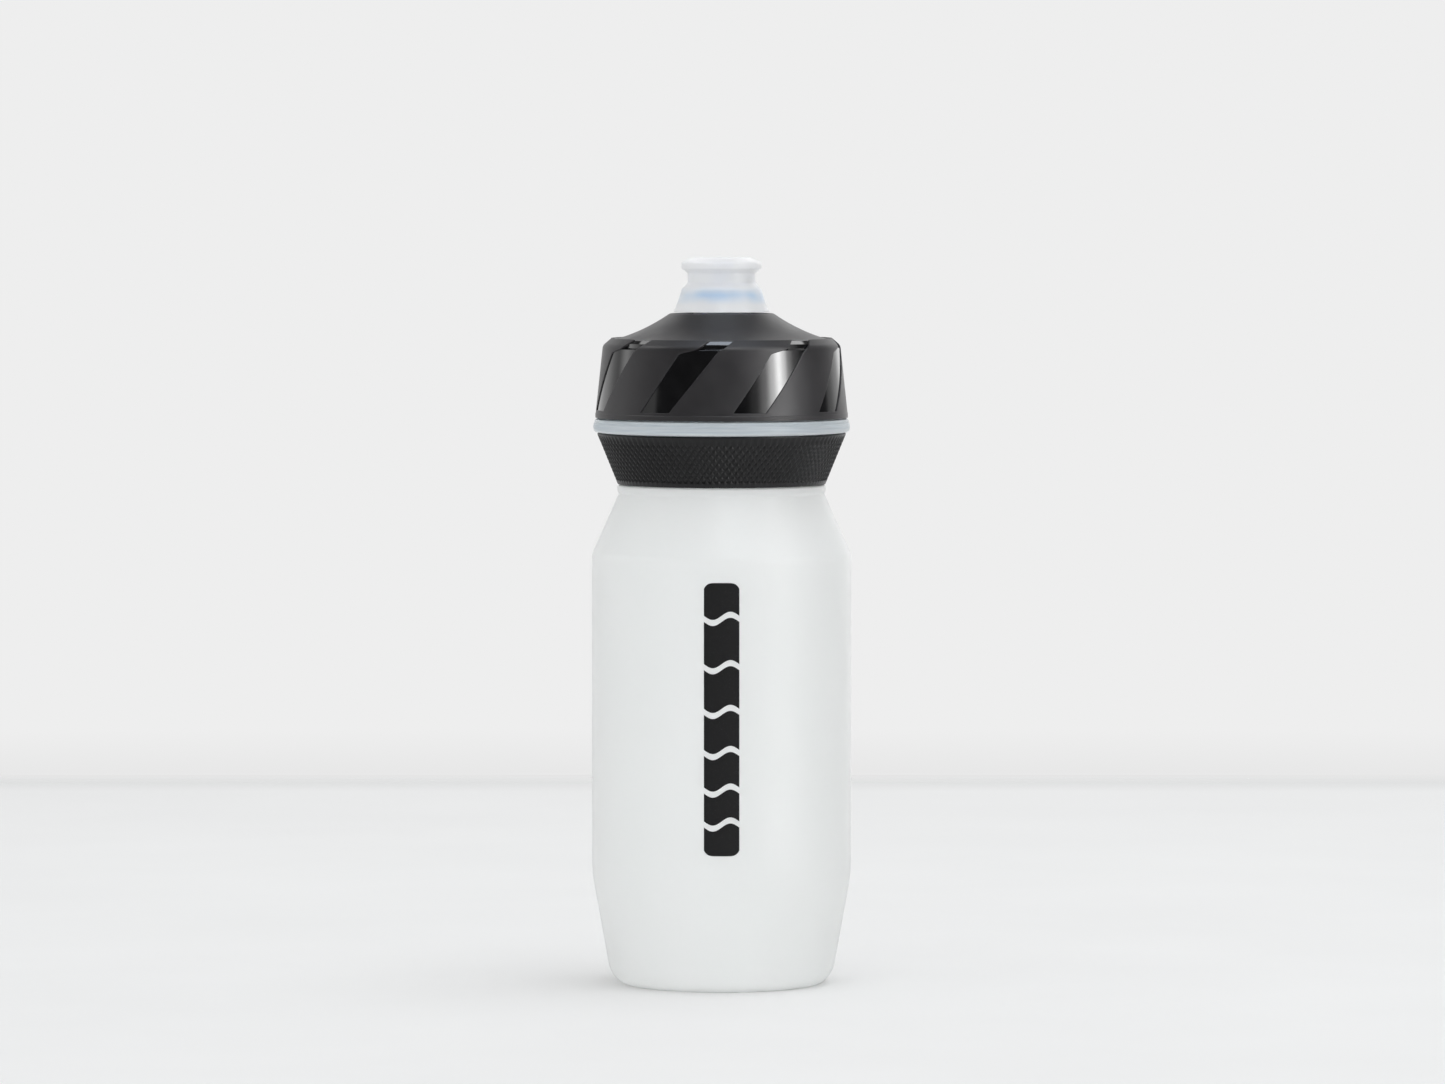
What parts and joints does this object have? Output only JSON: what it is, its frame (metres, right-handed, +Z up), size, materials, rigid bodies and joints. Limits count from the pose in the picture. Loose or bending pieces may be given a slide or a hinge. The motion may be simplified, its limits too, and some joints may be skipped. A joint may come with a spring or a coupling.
{
  "type": "bicycle water bottle",
  "caption": "Translucent squeeze bottle for a bicycle cage, with a banded waist, a threaded screw cap with slanted flutes and a push-pull spout.",
  "frame": {"origin": "centre of the foot ring, on the surface that the bottle stands on", "axes": "+Z up the bottle's axis to the spout; -Y is the front, where the print is; +X is to the right seen from the front"},
  "size_m": [0.0734, 0.0734, 0.2058],
  "materials": {
    "natural_bottle": "frosted translucent polyethylene",
    "band_rubber": "matte, diamond knurled",
    "pale_silicone": "satin",
    "black_gloss": "polished",
    "charcoal_soft": "soft-touch, fine grain",
    "clear_plastic": "natural translucent",
    "seal_rubber": "smooth",
    "blue_plastic": "satin",
    "soft_mouthpiece": "soft, milky translucent"
  },
  "bodies": {
    "bottle": {"bottle_body": "natural_bottle", "grip_band": "band_rubber"},
    "gasket": {"cap_gasket": "pale_silicone"},
    "cap": {"cap_shell": "black_gloss", "cap_grip": "charcoal_soft", "spout_post": "clear_plastic", "deck_seal": "seal_rubber", "slide_seal": "pale_silicone", "flow_plug": "blue_plastic"},
    "nozzle": {"nozzle_core": "clear_plastic", "nozzle_sleeve": "soft_mouthpiece"}
  },
  "joints": [
    {"name": "cap_lift", "type": "slide", "parent": "bottle", "child": "gasket", "axis": [0, 0, 1], "range_m": [0, 0.0241]},
    {"name": "cap_turn", "type": "hinge", "parent": "gasket", "child": "cap", "pos_m": [0, 0, 0.17], "axis": [0, 0, 1], "range_deg": [0, 1440]},
    {"name": "nozzle_pull", "type": "slide", "parent": "cap", "child": "nozzle", "axis": [0, 0, 1], "range_m": [0, 0.0065]}
  ],
  "couplings": [
    {"joint": "cap_lift", "follows": "cap_turn", "m_per_rad": 0.00095493}
  ]
}
